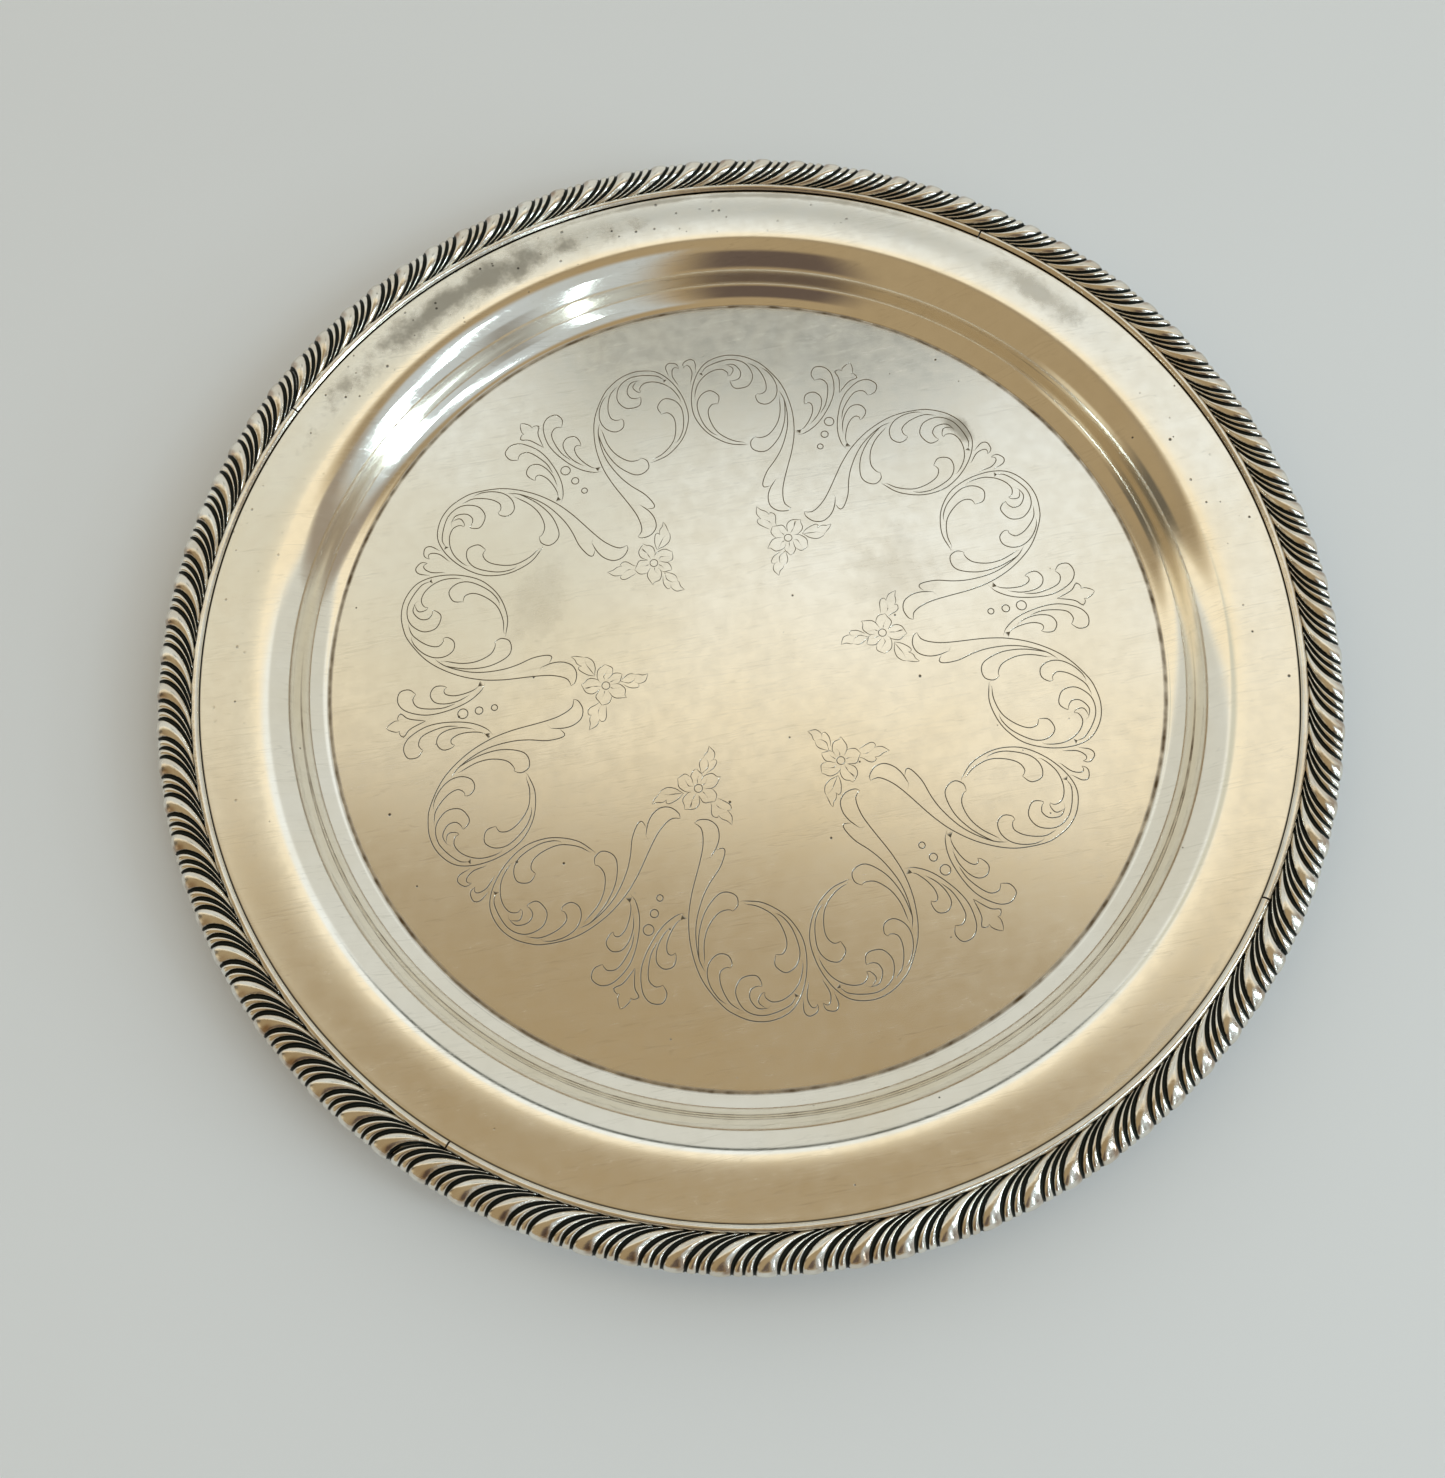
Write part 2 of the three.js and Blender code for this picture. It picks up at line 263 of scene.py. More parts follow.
def engraved_sixth():
    """One sixth of the well's face, with its lines cut in, as a mesh in metres."""
    corner = math.pi / flowers
    outline = [Vector((0, 0))]
    for angle in np.linspace(-corner, corner, well_segments + 1):
        outline.append(Vector((well_radius * math.cos(angle), well_radius * math.sin(angle))))
    places = list(outline)
    edges = [(i, (i + 1) % len(outline)) for i in range(len(outline))]
    for line, widths, _ in cuts:
        rails = {-1: [], 0: [], 1: []}
        for i, place in enumerate(line):
            along = (line[min(i + 1, len(line) - 1)] - line[max(i - 1, 0)]).normalized()
            across = Vector((-along.y, along.x))
            for side, rail in rails.items():
                rail.append(place + across * side * widths[i] / 2)
        for rail in rails.values():
            edges += [(len(places) + i, len(places) + i + 1) for i in range(len(rail) - 1)]
            places += rail
    found = delaunay_2d_cdt(places, edges, [], 1, overlap)
    flat = np.array([tuple(p) for p in found[0]])
    depth = np.zeros(len(flat))
    for line, widths, deep in cuts:
        ends = np.array([tuple(p) for p in line])
        half = np.array(widths) / 2
        a, b = ends[:-1], ends[1:]
        near = np.where(((flat > ends.min(0) - 1) & (flat < ends.max(0) + 1)).all(1))[0]
        run = ((flat[near, None] - a) * (b - a)).sum(2) / ((b - a) ** 2).sum(1)
        run = run.clip(0, 1)
        away = np.linalg.norm(flat[near, None] - (a + run[..., None] * (b - a)), axis=2)
        reach = half[:-1] + run * (half[1:] - half[:-1])
        share = (1 - away / reach).max(1).clip(0, 1)
        depth[near] = np.maximum(depth[near], deep * share)
    depth[depth < least_depth] = 0
    mesh = bpy.data.meshes.new("engraved_sixth")
    corners = [(x * mm, y * mm, (sheet - down) * mm) for (x, y), down in zip(flat, depth)]
    mesh.from_pydata(corners, [], found[2])
    cut = mesh.attributes.new("cut", "FLOAT", "POINT")
    cut.data.foreach_set("value", depth / scroll_cut[1])
    return mesh


def tree_with(name, kind, inputs, outputs):
    """A node tree with its named sockets, and its input and output nodes."""
    tree = bpy.data.node_groups.new(name, kind)
    for label, socket, value in inputs:
        made = tree.interface.new_socket(label, in_out="INPUT", socket_type="NodeSocket" + socket)
        if value is not None:
            made.default_value = value
    for label, socket in outputs:
        tree.interface.new_socket(label, in_out="OUTPUT", socket_type="NodeSocket" + socket)
    return tree, tree.nodes.new("NodeGroupInput").outputs, tree.nodes.new("NodeGroupOutput").inputs


def add(tree, kind, sockets=None, **settings):
    """A new node; sockets gives each of its inputs a value or another node's output."""
    made = tree.nodes.new(kind)
    for name, value in settings.items():
        setattr(made, name, value)
    for key, value in (sockets or {}).items():
        if isinstance(value, bpy.types.NodeSocket):
            tree.links.new(value, made.inputs[key])
        else:
            made.inputs[key].default_value = value
    return made


def calc(tree, operation, *values):
    """The result of a Math node on numbers or outputs."""
    return add(tree, "ShaderNodeMath", dict(enumerate(values)), operation=operation).outputs[0]


# Repeats a mesh round the tray's axis, joins the copies where they meet, and pushes the surface in and out a
# little where Unevenness isn't 0.
repeat_tree, given, result = tree_with(
    "repeat round the axis",
    "GeometryNodeTree",
    [("Geometry", "Geometry", None), ("Count", "Int", 6), ("First Angle", "Float", 0.0),
     ("Pitch", "Float", 1.0), ("Unevenness", "Float", 0.0), ("Seed", "Float", 0.0),
     ("Metal", "Material", None)],
    [("Geometry", "Geometry")],
)
spots = add(repeat_tree, "GeometryNodePoints", {"Count": given["Count"], "Radius": 0.001})
index = add(repeat_tree, "GeometryNodeInputIndex").outputs[0]
angle = calc(repeat_tree, "MULTIPLY_ADD", index, given["Pitch"], given["First Angle"])
spin = add(repeat_tree, "ShaderNodeCombineXYZ", {"Z": angle})
copies = add(
    repeat_tree,
    "GeometryNodeInstanceOnPoints",
    {"Points": spots.outputs[0], "Instance": given["Geometry"], "Rotation": spin.outputs[0]},
)
real = add(repeat_tree, "GeometryNodeRealizeInstances", {0: copies.outputs[0]})
joined = add(repeat_tree, "GeometryNodeMergeByDistance", {"Geometry": real.outputs[0], "Distance": weld})
noise = add(
    repeat_tree,
    "ShaderNodeTexNoise",
    {"W": given["Seed"], "Scale": 170.0, "Detail": 1.0},
    noise_dimensions="4D",
)
swing = calc(repeat_tree, "SUBTRACT", noise.outputs[0], 0.5)
push = calc(repeat_tree, "MULTIPLY", swing, given["Unevenness"])
normal = add(repeat_tree, "GeometryNodeInputNormal").outputs[0]
offset = add(repeat_tree, "ShaderNodeVectorMath", {0: normal, "Scale": push}, operation="SCALE")
moved = add(
    repeat_tree,
    "GeometryNodeSetPosition",
    {"Geometry": joined.outputs[0], "Offset": offset.outputs[0]},
)
clad = add(
    repeat_tree,
    "GeometryNodeSetMaterial",
    {"Geometry": moved.outputs[0], "Material": given["Metal"]},
)
repeat_tree.links.new(clad.outputs[0], result[0])


def grown(name, mesh, tree, **inputs):
    """The plain mesh that a tree makes from mesh, with its inputs set by name."""
    holder = bpy.data.objects.new(name, mesh)
    bpy.context.scene.collection.objects.link(holder)
    modifier = holder.modifiers.new(name, "NODES")
    modifier.node_group = tree
    for socket in tree.interface.items_tree:
        if socket.in_out == "INPUT" and socket.name.replace(" ", "_").lower() in inputs:
            modifier[socket.identifier] = inputs[socket.name.replace(" ", "_").lower()]
    evaluated = holder.evaluated_get(bpy.context.evaluated_depsgraph_get())
    plain = bpy.data.meshes.new_from_object(evaluated)
    holder.modifiers.remove(modifier)
    bpy.data.objects.remove(holder)
    return plain


# Marks of worn silver plate, which the border shares: hairline scratches, small dark pits where the plate
# has failed, and the uneven yellow film that silver takes on in air.
scratch_tree, given, result = tree_with(
    "hairline scratches",
    "ShaderNodeTree",
    [("Vector", "Vector", None), ("Scale", "Float", 60.0), ("Amount", "Float", 0.5)],
    [("Lines", "Float")],
)
lines = 0.0
for direction, stretch in ((0.3, 22.0), (1.25, 16.0), (2.1, 26.0), (2.75, 18.0)):
    turned = add(
        scratch_tree,
        "ShaderNodeMapping",
        {"Vector": given["Vector"], "Rotation": (0, 0, direction), "Scale": (1, stretch, 1),
         "Location": (direction, 0, 0)},
    )
    grain = add(
        scratch_tree,
        "ShaderNodeTexNoise",
        {"Vector": turned.outputs[0], "Scale": given["Scale"], "Detail": 2.0, "Distortion": 0.15},
    )
    off_middle = calc(scratch_tree, "ABSOLUTE", calc(scratch_tree, "SUBTRACT", grain.outputs[0], 0.5))
    thin = calc(scratch_tree, "SUBTRACT", 1.0, calc(scratch_tree, "MULTIPLY", off_middle, 90.0))
    patch = add(
        scratch_tree,
        "ShaderNodeTexNoise",
        {"Vector": turned.outputs[0], "Scale": calc(scratch_tree, "MULTIPLY", given["Scale"], 0.35),
         "Detail": 0.0},
    )
    here = calc(scratch_tree, "MULTIPLY", calc(scratch_tree, "SUBTRACT", patch.outputs[0], 0.52), 9.0)
    kept = calc(scratch_tree, "MULTIPLY", calc(scratch_tree, "MAXIMUM", thin, 0.0),
                add(scratch_tree, "ShaderNodeClamp", {0: here}).outputs[0])
    lines = calc(scratch_tree, "MAXIMUM", lines, kept)
scratch_tree.links.new(calc(scratch_tree, "MULTIPLY", lines, given["Amount"]), result["Lines"])

pit_tree, given, result = tree_with(
    "pits",
    "ShaderNodeTree",
    [("Vector", "Vector", None), ("Scale", "Float", 300.0), ("Share", "Float", 0.05), ("Size", "Float", 0.2)],
    [("Pits", "Float")],
)
cells = add(pit_tree, "ShaderNodeTexVoronoi", {"Vector": given["Vector"], "Scale": given["Scale"]})
draw = add(pit_tree, "ShaderNodeSeparateColor", {0: cells.outputs["Color"]})
chosen = calc(pit_tree, "LESS_THAN", draw.outputs[0], given["Share"])
width = calc(pit_tree, "MULTIPLY", given["Size"], calc(pit_tree, "MULTIPLY_ADD", draw.outputs[1], 0.8, 0.4))
inside = calc(pit_tree, "SUBTRACT", 1.0, calc(pit_tree, "DIVIDE", cells.outputs["Distance"], width))
soft = add(pit_tree, "ShaderNodeClamp", {0: calc(pit_tree, "MULTIPLY", inside, 2.5)})
pit_tree.links.new(calc(pit_tree, "MULTIPLY", soft.outputs[0], chosen), result["Pits"])

film_tree, given, result = tree_with(
    "tarnish film",
    "ShaderNodeTree",
    [("Vector", "Vector", None), ("Scale", "Float", 18.0)],
    [("Film", "Float"), ("Mottle", "Float")],
)
broad = add(
    film_tree,
    "ShaderNodeTexNoise",
    {"Vector": given["Vector"], "Scale": given["Scale"], "Detail": 4.0, "Roughness": 0.6, "Distortion": 0.6},
)
fine = add(
    film_tree,
    "ShaderNodeTexNoise",
    {"Vector": given["Vector"], "Scale": calc(film_tree, "MULTIPLY", given["Scale"], 16.0), "Detail": 5.0},
)
for label, source, low, high in (("Film", broad, 0.38, 0.66), ("Mottle", fine, 0.35, 0.7)):
    spread = add(film_tree, "ShaderNodeMapRange", {0: source.outputs[0], "From Min": low, "From Max": high})
    film_tree.links.new(spread.outputs[0], result[label])


def use(tree, inner, **sockets):
    """Places a shared node group in a material, with its inputs set by name."""
    return add(tree, "ShaderNodeGroup", sockets, node_tree=inner).outputs


def tint(tree, share, under, over):
    """Colour over laid on colour under by share."""
    mix = add(tree, "ShaderNodeMix", None, data_type="RGBA")
    for number, value in ((0, share), (6, under), (7, over)):
        if isinstance(value, bpy.types.NodeSocket):
            tree.links.new(value, mix.inputs[number])
        else:
            mix.inputs[number].default_value = (*value, 1) if number else value
    return mix.outputs[2]


def ramp(tree, value, low, high):
    """Grows smoothly from 0 at low to 1 at high, and the other way when low is above high."""
    return add(
        tree,
        "ShaderNodeMapRange",
        {0: value, "From Min": low, "From Max": high},
        interpolation_type="SMOOTHSTEP",
    ).outputs[0]


def metal(name):
    """A metal material, its nodes, and the place on the piece that its patterns follow."""
    made = bpy.data.materials.new(name)
    made.use_nodes = True
    made.node_tree.nodes["Principled BSDF"].inputs["Metallic"].default_value = 1.0
    return made, made.node_tree, add(made.node_tree, "ShaderNodeTexCoord").outputs["Object"]


def finish_metal(nodes, colour, rough, height):
    """Joins a metal's colour, roughness and relief, whose height is in mm, to its shader."""
    bump = add(nodes, "ShaderNodeBump", {"Height": height, "Distance": mm})
    shader = nodes.nodes["Principled BSDF"]
    for name, source in (("Base Color", colour), ("Roughness", rough), ("Normal", bump.outputs[0])):
        nodes.links.new(source, shader.inputs[name])


def arc(start, width, a, b, steps):
    """Places along an arc of a given plan width whose slope runs from a to b, and the slope at each."""
    radius = width / (math.sin(b) - math.sin(a))
    slopes = [a + (b - a) * i / steps for i in range(steps + 1)]
    places = [
        (start[0] + radius * (math.sin(s) - math.sin(a)), start[1] - radius * (math.cos(s) - math.cos(a)))
        for s in slopes
    ]
    return list(zip(places, slopes))


def steepest_slope():
    """Slope at which the wall's two arcs meet, so that together they climb wall_rise."""
    low, high = wall_foot, math.pi - wall_foot
    while high - low > slope_error:
        middle = (low + high) / 2
        climb = cove_width * math.tan((wall_foot + middle) / 2)
        climb += shoulder_width * math.tan((wall_head + middle) / 2)
        low, high = (middle, high) if climb < wall_rise else (low, middle)
    return low


def dish_profile():
    """Section of the dish from the well's edge over the wall and flange, round and back underneath."""
    steepest = steepest_slope()
    cove = arc((well_radius, sheet), cove_width, wall_foot, steepest, cove_steps)
    shoulder = arc(cove[-1][0], shoulder_width, steepest, wall_head, shoulder_steps)
    head = shoulder[-1][0]
    third = (seat_radius - head[0]) / 3
    knots = [
        Vector(head),
        Vector((head[0] + third, head[1] + third * math.tan(wall_head))),
        Vector((seat_radius - third, seat - third * math.tan(flange_end))),
        Vector((seat_radius, seat)),
    ]
    flange = []
    for t in np.linspace(0, 1, flange_steps + 1)[1:]:
        weights = [(1 - t) ** 3, 3 * t * (1 - t) ** 2, 3 * t * t * (1 - t), t**3]
        place = sum((knot * weight for knot, weight in zip(knots, weights)), Vector((0, 0)))
        edge_weights = [(1 - t) ** 2, 2 * t * (1 - t), t * t]
        run = sum(((b - a) * w for a, b, w in zip(knots, knots[1:], edge_weights)), Vector((0, 0)))
        flange.append((tuple(place), math.atan2(run.y, run.x)))
    shown = cove + shoulder[1:] + flange
    below = [(x + sheet * math.sin(s), z - sheet * math.cos(s)) for (x, z), s in shown]
    edge = [(flange_edge - round_edge, seat), (flange_edge, seat - round_edge),
            (flange_edge, seat - sheet + round_edge), (flange_edge - round_edge, seat - sheet)]
    top = [place for place, _ in shown]
    top[1:1] = [(well_radius + crease_width / 2, sheet - crease_depth)]
    top = [p for i, p in enumerate(top) if i < 2 or p[0] > well_radius + crease_width]
    return top + edge + below[::-1] + [(0.0, 0.0)]


# Turns a profile, a chain of points in the plane of X and Z, once round the Z axis.
turn_tree, given, result = tree_with(
    "turned sheet",
    "GeometryNodeTree",
    [("Geometry", "Geometry", None), ("Segments", "Int", 96), ("Metal", "Material", None)],
    [("Geometry", "Geometry")],
)
size = add(turn_tree, "GeometryNodeAttributeDomainSize", {0: given["Geometry"]})
columns = calc(turn_tree, "ADD", given["Segments"], 1.0)
grid = add(turn_tree, "GeometryNodeMeshGrid", {"Vertices X": columns, "Vertices Y": size.outputs[0]})
index = add(turn_tree, "GeometryNodeInputIndex").outputs[0]
row = calc(turn_tree, "MODULO", index, size.outputs[0])
middle = calc(turn_tree, "ADD", index, 0.5)
column = calc(turn_tree, "FLOOR", calc(turn_tree, "DIVIDE", middle, size.outputs[0]))
start = add(turn_tree, "GeometryNodeInputPosition").outputs[0]
place = add(
    turn_tree,
    "GeometryNodeSampleIndex",
    {"Geometry": given["Geometry"], "Index": row},
    data_type="FLOAT_VECTOR",
    domain="POINT",
)
turn_tree.links.new(start, place.inputs["Value"])
full = calc(turn_tree, "DIVIDE", calc(turn_tree, "MULTIPLY", column, 2 * math.pi), given["Segments"])
swung = add(
    turn_tree,
    "ShaderNodeVectorRotate",
    {"Vector": place.outputs[0], "Angle": full},
    rotation_type="Z_AXIS",
)
shaped = add(
    turn_tree,
    "GeometryNodeSetPosition",
    {"Geometry": grid.outputs[0], "Position": swung.outputs[0]},
)
closed = add(turn_tree, "GeometryNodeMergeByDistance", {"Geometry": shaped.outputs[0], "Distance": weld})
clad = add(
    turn_tree,
    "GeometryNodeSetMaterial",
    {"Geometry": closed.outputs[0], "Material": given["Metal"]},
)
turn_tree.links.new(clad.outputs[0], result[0])

# A stain that follows the rim: an oval about a bearing and a distance from the axis, with a broken edge.
stain_tree, given, result = tree_with(
    "stain along the rim",
    "ShaderNodeTree",
    [("Vector", "Vector", None), ("Bearing", "Float", 0.0), ("Radius", "Float", 0.1),
     ("Along", "Float", 0.02), ("Across", "Float", 0.004)],
    [("Stain", "Float")],
)
xyz = add(stain_tree, "ShaderNodeSeparateXYZ", {0: given["Vector"]})
level_place = add(
    stain_tree,
    "ShaderNodeVectorMath",
    {0: given["Vector"], 1: (1, 1, 0)},
    operation="MULTIPLY",
)
distance = add(stain_tree, "ShaderNodeVectorMath", {0: level_place.outputs[0]}, operation="LENGTH")
bearing_here = calc(stain_tree, "ARCTAN2", xyz.outputs["Y"], xyz.outputs["X"])
off_bearing = calc(stain_tree, "SUBTRACT", bearing_here, given["Bearing"])
off_bearing = calc(stain_tree, "WRAP", off_bearing, math.pi, -math.pi)
off_along = calc(stain_tree, "MULTIPLY", off_bearing, given["Radius"])
off_along = calc(stain_tree, "DIVIDE", off_along, given["Along"])
off_across = calc(stain_tree, "SUBTRACT", distance.outputs["Value"], given["Radius"])
off_across = calc(stain_tree, "DIVIDE", off_across, given["Across"])
squared = [calc(stain_tree, "POWER", part, 2.0) for part in (off_along, off_across)]
offset = calc(stain_tree, "SQRT", calc(stain_tree, "ADD", *squared))
edge = add(
    stain_tree,
    "ShaderNodeTexNoise",
    {"Vector": given["Vector"], "Scale": 110.0, "Detail": 5.0, "Roughness": 0.65},
)
broken = calc(stain_tree, "MULTIPLY", calc(stain_tree, "SUBTRACT", edge.outputs[0], 0.5), 2.4)
stain = ramp(stain_tree, calc(stain_tree, "ADD", offset, broken), 1.15, 0.25)
stain_tree.links.new(stain, result["Stain"])

dish_metal, nodes, here = metal("worn silver plate")
flat_place = add(nodes, "ShaderNodeVectorMath", {0: here, 1: (1, 1, 0)}, operation="MULTIPLY").outputs[0]
axis_distance = add(nodes, "ShaderNodeVectorMath", {0: flat_place}, operation="LENGTH").outputs["Value"]
cut = add(nodes, "ShaderNodeAttribute", attribute_name="cut").outputs["Fac"]
under = add(nodes, "ShaderNodeAttribute", attribute_name="under").outputs["Fac"]
film = use(nodes, film_tree, Vector=here, Scale=16.0)
hairlines = use(nodes, scratch_tree, Vector=here, Scale=28.0, Amount=0.8)["Lines"]
fine_hairlines = use(nodes, scratch_tree, Vector=here, Scale=75.0, Amount=0.5)["Lines"]
pits = use(nodes, pit_tree, Vector=here, Scale=420.0, Share=0.02, Size=0.17)["Pits"]
in_crease = calc(
    nodes,
    "MULTIPLY",
    ramp(nodes, axis_distance, (well_radius - 0.9) * mm, (well_radius - 0.1) * mm),
    ramp(nodes, axis_distance, (well_radius + 0.8) * mm, (well_radius + 0.2) * mm),
)
crease_dirt = calc(nodes, "MULTIPLY", in_crease, calc(nodes, "MULTIPLY_ADD", film["Mottle"], 0.5, 0.5))
crease_dirt = add(nodes, "ShaderNodeClamp", {0: crease_dirt}).outputs[0]
colour = tint(nodes, calc(nodes, "MULTIPLY", film["Film"], 0.35), silver, yellowed)
colour = tint(nodes, calc(nodes, "MULTIPLY", film["Mottle"], 0.10), colour, mottled)
colour = tint(nodes, calc(nodes, "MULTIPLY", under, 0.35), colour, unpolished)
colour = tint(nodes, crease_dirt, colour, grime)
marks = 0.0
for bearing, radius, along, across, strength in stains:
    mark = use(nodes, stain_tree, Vector=here, Bearing=math.radians(bearing), Radius=radius * mm,
               Along=along * mm, Across=across * mm)["Stain"]
    marks = calc(nodes, "MAXIMUM", marks, calc(nodes, "MULTIPLY", mark, strength))
colour = tint(nodes, marks, colour, grey_stain)
speckled = 0.0
for bearing, radius, along, across in speckled_places:
    place = use(nodes, stain_tree, Vector=here, Bearing=math.radians(bearing), Radius=radius * mm,
                Along=along * mm, Across=across * mm)["Stain"]
    speckled = calc(nodes, "MAXIMUM", speckled, place)
speckles = use(nodes, pit_tree, Vector=here, Scale=560.0, Share=0.15, Size=0.27)["Pits"]
# Painted contact shadow: the flange is painted nearly black just short of the border's inner edge.
shadow_at_bead = ramp(nodes, axis_distance, *((seat_radius - short) * mm for short in bead_shadow_reach))
colour = tint(nodes, calc(nodes, "MULTIPLY", shadow_at_bead, 0.9), colour, oxide_and_shadow_black)
pits = calc(nodes, "MAXIMUM", pits, calc(nodes, "MULTIPLY", speckles, speckled))
colour = tint(nodes, calc(nodes, "MULTIPLY", hairlines, 0.22), colour, scratched)
colour = tint(nodes, calc(nodes, "MULTIPLY", pits, 0.9), colour, oxide_and_shadow_black)
colour = tint(nodes, ramp(nodes, cut, 0.0, 0.45), colour, old_polish)
on_wall = calc(
    nodes,
    "MULTIPLY",
    ramp(nodes, axis_distance, (well_radius - 1) * mm, (well_radius + 1) * mm),
    ramp(nodes, axis_distance, wall_polish[1] * mm, wall_polish[0] * mm),
)
rough = calc(nodes, "MULTIPLY_ADD", on_wall, -0.11, 0.18)
rough = calc(nodes, "MULTIPLY_ADD", marks, 0.25, rough)
rough = calc(nodes, "MULTIPLY_ADD", film["Mottle"], 0.05, rough)
rough = calc(nodes, "MULTIPLY_ADD", fine_hairlines, 0.12, rough)
rough = calc(nodes, "MULTIPLY_ADD", under, 0.16, rough)
rough = calc(nodes, "MULTIPLY_ADD", crease_dirt, 0.35, rough)
rough = calc(nodes, "MULTIPLY_ADD", ramp(nodes, cut, 0.0, 0.4), 0.45, rough)
ripple = add(nodes, "ShaderNodeTexNoise", {"Vector": here, "Scale": 22.0, "Detail": 1.5}).outputs[0]
height = calc(nodes, "MULTIPLY", ripple, 0.035)
height = calc(nodes, "MULTIPLY_ADD", hairlines, -0.002, height)
height = calc(nodes, "MULTIPLY_ADD", fine_hairlines, -0.001, height)
height = calc(nodes, "MULTIPLY_ADD", pits, -0.03, height)
finish_metal(nodes, colour, rough, height)

profile = bpy.data.meshes.new("dish_profile")
chain = dish_profile()
profile.from_pydata([(x * mm, 0, z * mm) for x, z in chain], [(i, i + 1) for i in range(len(chain) - 1)], [])
sixth_turn = 2 * math.pi / flowers
engraved = grown("engraved_well", engraved_sixth(), repeat_tree, count=flowers,
                 first_angle=0.0, pitch=sixth_turn, metal=dish_metal)
turned = grown("turned_dish", profile, turn_tree, segments=well_segments * flowers, metal=dish_metal)
built = bmesh.new()
built.from_mesh(engraved)
built.from_mesh(turned)
bmesh.ops.remove_doubles(built, verts=built.verts, dist=0.003 * mm)
bmesh.ops.recalc_face_normals(built, faces=built.faces)
dish_mesh = bpy.data.meshes.new("salver_dish")
built.to_mesh(dish_mesh)
built.free()
dish_mesh.materials.clear()
dish_mesh.materials.append(dish_metal)
for face in dish_mesh.polygons:
    face.material_index = 0
    face.use_smooth = math.hypot(face.center.x, face.center.y) > (well_radius - 0.01) * mm
underneath = dish_mesh.attributes.new("under", "FLOAT", "POINT")
underneath.data.foreach_set("value", [1.0 if v.normal.z < 0 else 0.0 for v in dish_mesh.vertices])
dish = bpy.data.objects.new("salver_dish", dish_mesh)
bpy.context.scene.collection.objects.link(dish)
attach(dish, "root")
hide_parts("pressed_dish")

# --- The solder -------------------------------------------------------------------------------------
# Soft grey solder that fills each border length's hollow back and holds it over the flange's edge. It
# was poured into the stamping and filed level, so its face is dull and a little lumpy.
border_lengths = 4
pale_solder = (0.50, 0.50, 0.49)
dull_solder = (0.33, 0.325, 0.315)
filed_solder = (0.68, 0.68, 0.67)
solder_metal, nodes, here = metal("filed solder")
film = use(nodes, film_tree, Vector=here, Scale=60.0)
file_marks = use(nodes, scratch_tree, Vector=here, Scale=140.0, Amount=1.0)["Lines"]
colour = tint(nodes, film["Film"], pale_solder, dull_solder)
colour = tint(nodes, calc(nodes, "MULTIPLY", file_marks, 0.5), colour, filed_solder)
rough = calc(nodes, "MULTIPLY_ADD", film["Mottle"], 0.2, 0.45)
height = calc(nodes, "MULTIPLY_ADD", film["Mottle"], 0.05, calc(nodes, "MULTIPLY", file_marks, -0.02))
finish_metal(nodes, colour, rough, height)
for number in range(1, border_lengths + 1):
    fill = frame["nodes"][f"solder_fill_{number}"]
    fill.data.materials.clear()
    fill.data.materials.append(solder_metal)

# --- The gadroon border -----------------------------------------------------------------------------
# Four stamped lengths of thin plated metal, soldered over the flange's edge and butted end to end. Outside
# a plain bead, one broad comma-shaped lobe and two narrow reeds repeat 23 times in each length, sweeping
# from the bead over the edge, with black oxide left in the hollows and painted shade darkening them further;
# the bead's side against the flange, the quirk and the hidden back are painted black as shade.
rim_radius = cad_box[1].x / mm
border_width = rim_radius - seat_radius
first_joint = math.radians(46)
length_gap = 0.5
repeats = 23
clearance = 0.3  # between the border and the flange
bead = (0.9, 0.45, 0.85)  # half width, height of its springing and rise over that
bead_shadow_level = 0.36  # level over the seat up to which the bead's upright side is painted black as its shadow on the flange
bead_steps = 11
bead_last = 0.06  # angle at which the bead's last place lies, just short of its outer foot
quirk = 1.85  # distance of the lobes from the border's inner edge
quirk_width = 0.02
lobe_foot = 0.45  # where the lobes spring from the quirk, over the seat
lobe_top = 3.3  # crest over the seat
lobe_crest = 6.3  # distance of the highest line from the border's inner edge
widest = -0.6  # level over the seat at which the border reaches furthest out
turned_under = math.radians(26)  # how far the lobes carry on below that level
rise_steps = 12
fall_steps = 18
ridge_edges = (0.0, 0.25, 0.48, 1.0)  # hollows between two reeds and the broad lobe, as shares of a repeat
ridge_drop = (0.30, 0.35, 0.0)  # how much lower than the broad lobe each of them lies
ridge_columns = (10, 10, 18)
hollow_depth = 1.0
foot_share = 0.25  # share of the hollows' depth at the quirk, and of the slant with which they are sunk
foot_run = 0.9  # distance from the quirk over which their depth would grow to the full
edge_share = 0.5  # share of the hollows' depth at the outer edge
hollow_width = (1.6, 0.5)  # along the rim, at the bead and at the outer edge
lean = math.radians(3.85)  # turn of a lobe between its outer end and the bead
straight_share = 0.05
hook = 1.2  # at more than 1 the turn gathers closer to the bead
swept_out = border_width - 0.5  # beyond this the lobes run square to the rim
bend = 0.985  # at 1 the lobes would meet the bead along its own direction
length_turn = 2 * math.pi / border_lengths - length_gap / rim_radius
repeat_turn = length_turn / repeats
unevenness = 0.10  # how far the hand-finished surface wanders
lip = 0.9  # how far the border turns in under the flange
under_flange = -sheet - clearance
over_edge = flange_edge - seat_radius + clearance
hollow_back = [(over_edge - lip, under_flange), (over_edge, under_flange), (over_edge, clearance),
               (over_edge - clearance, 1.15), (6.1, 1.9), (3.33, 1.15), (quirk, clearance)]
worn_silver = (0.84, 0.815, 0.75)
warm_silver = (0.64, 0.54, 0.42)
# Reddish brown of an oval patch on the outer part of every broad lobe.
reddish_brown = (0.30, 0.17, 0.09)
# Black of the real oxide in the hollows, also used as painted shade there and on the bead's side, quirk and
# back.
oxide_and_shade_black = (0.020, 0.023, 0.020)


